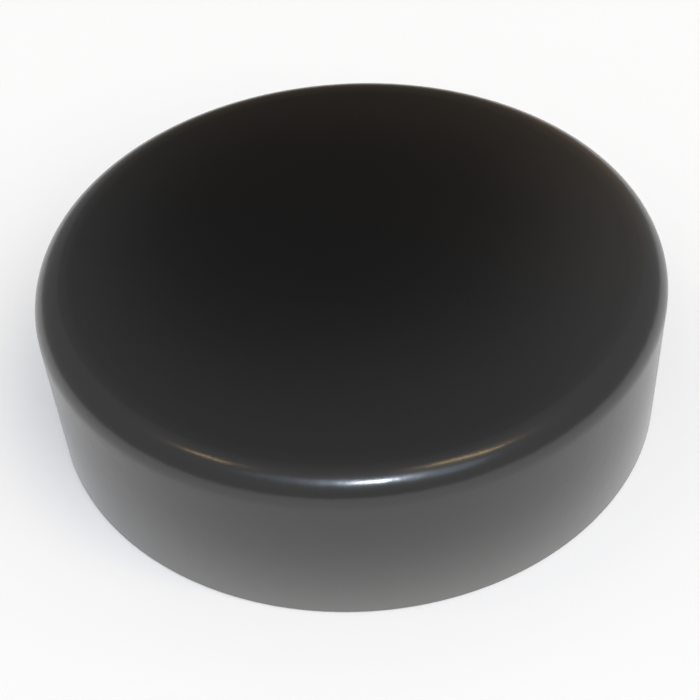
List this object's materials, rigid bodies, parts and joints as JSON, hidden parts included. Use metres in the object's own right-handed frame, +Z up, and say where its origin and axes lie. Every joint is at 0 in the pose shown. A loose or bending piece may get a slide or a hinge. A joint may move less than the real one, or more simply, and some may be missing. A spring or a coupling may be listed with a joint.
{
  "type": "piling cap",
  "caption": "Round flat-topped cap with a rounded shoulder and a straight skirt, open below, that slips over the head of a timber piling to shed rain.",
  "frame": {"origin": "on the cap's axis, in the plane of the rim that the cap stands on", "axes": "+Z up along the cap's axis, from the rim to the crown; X and Y in the plane of the rim"},
  "size_m": [0.2604, 0.2604, 0.074],
  "materials": {
    "polyethylene": "satin"
  },
  "bodies": {
    "root": {"piling_cap": "polyethylene"}
  },
  "joints": []
}
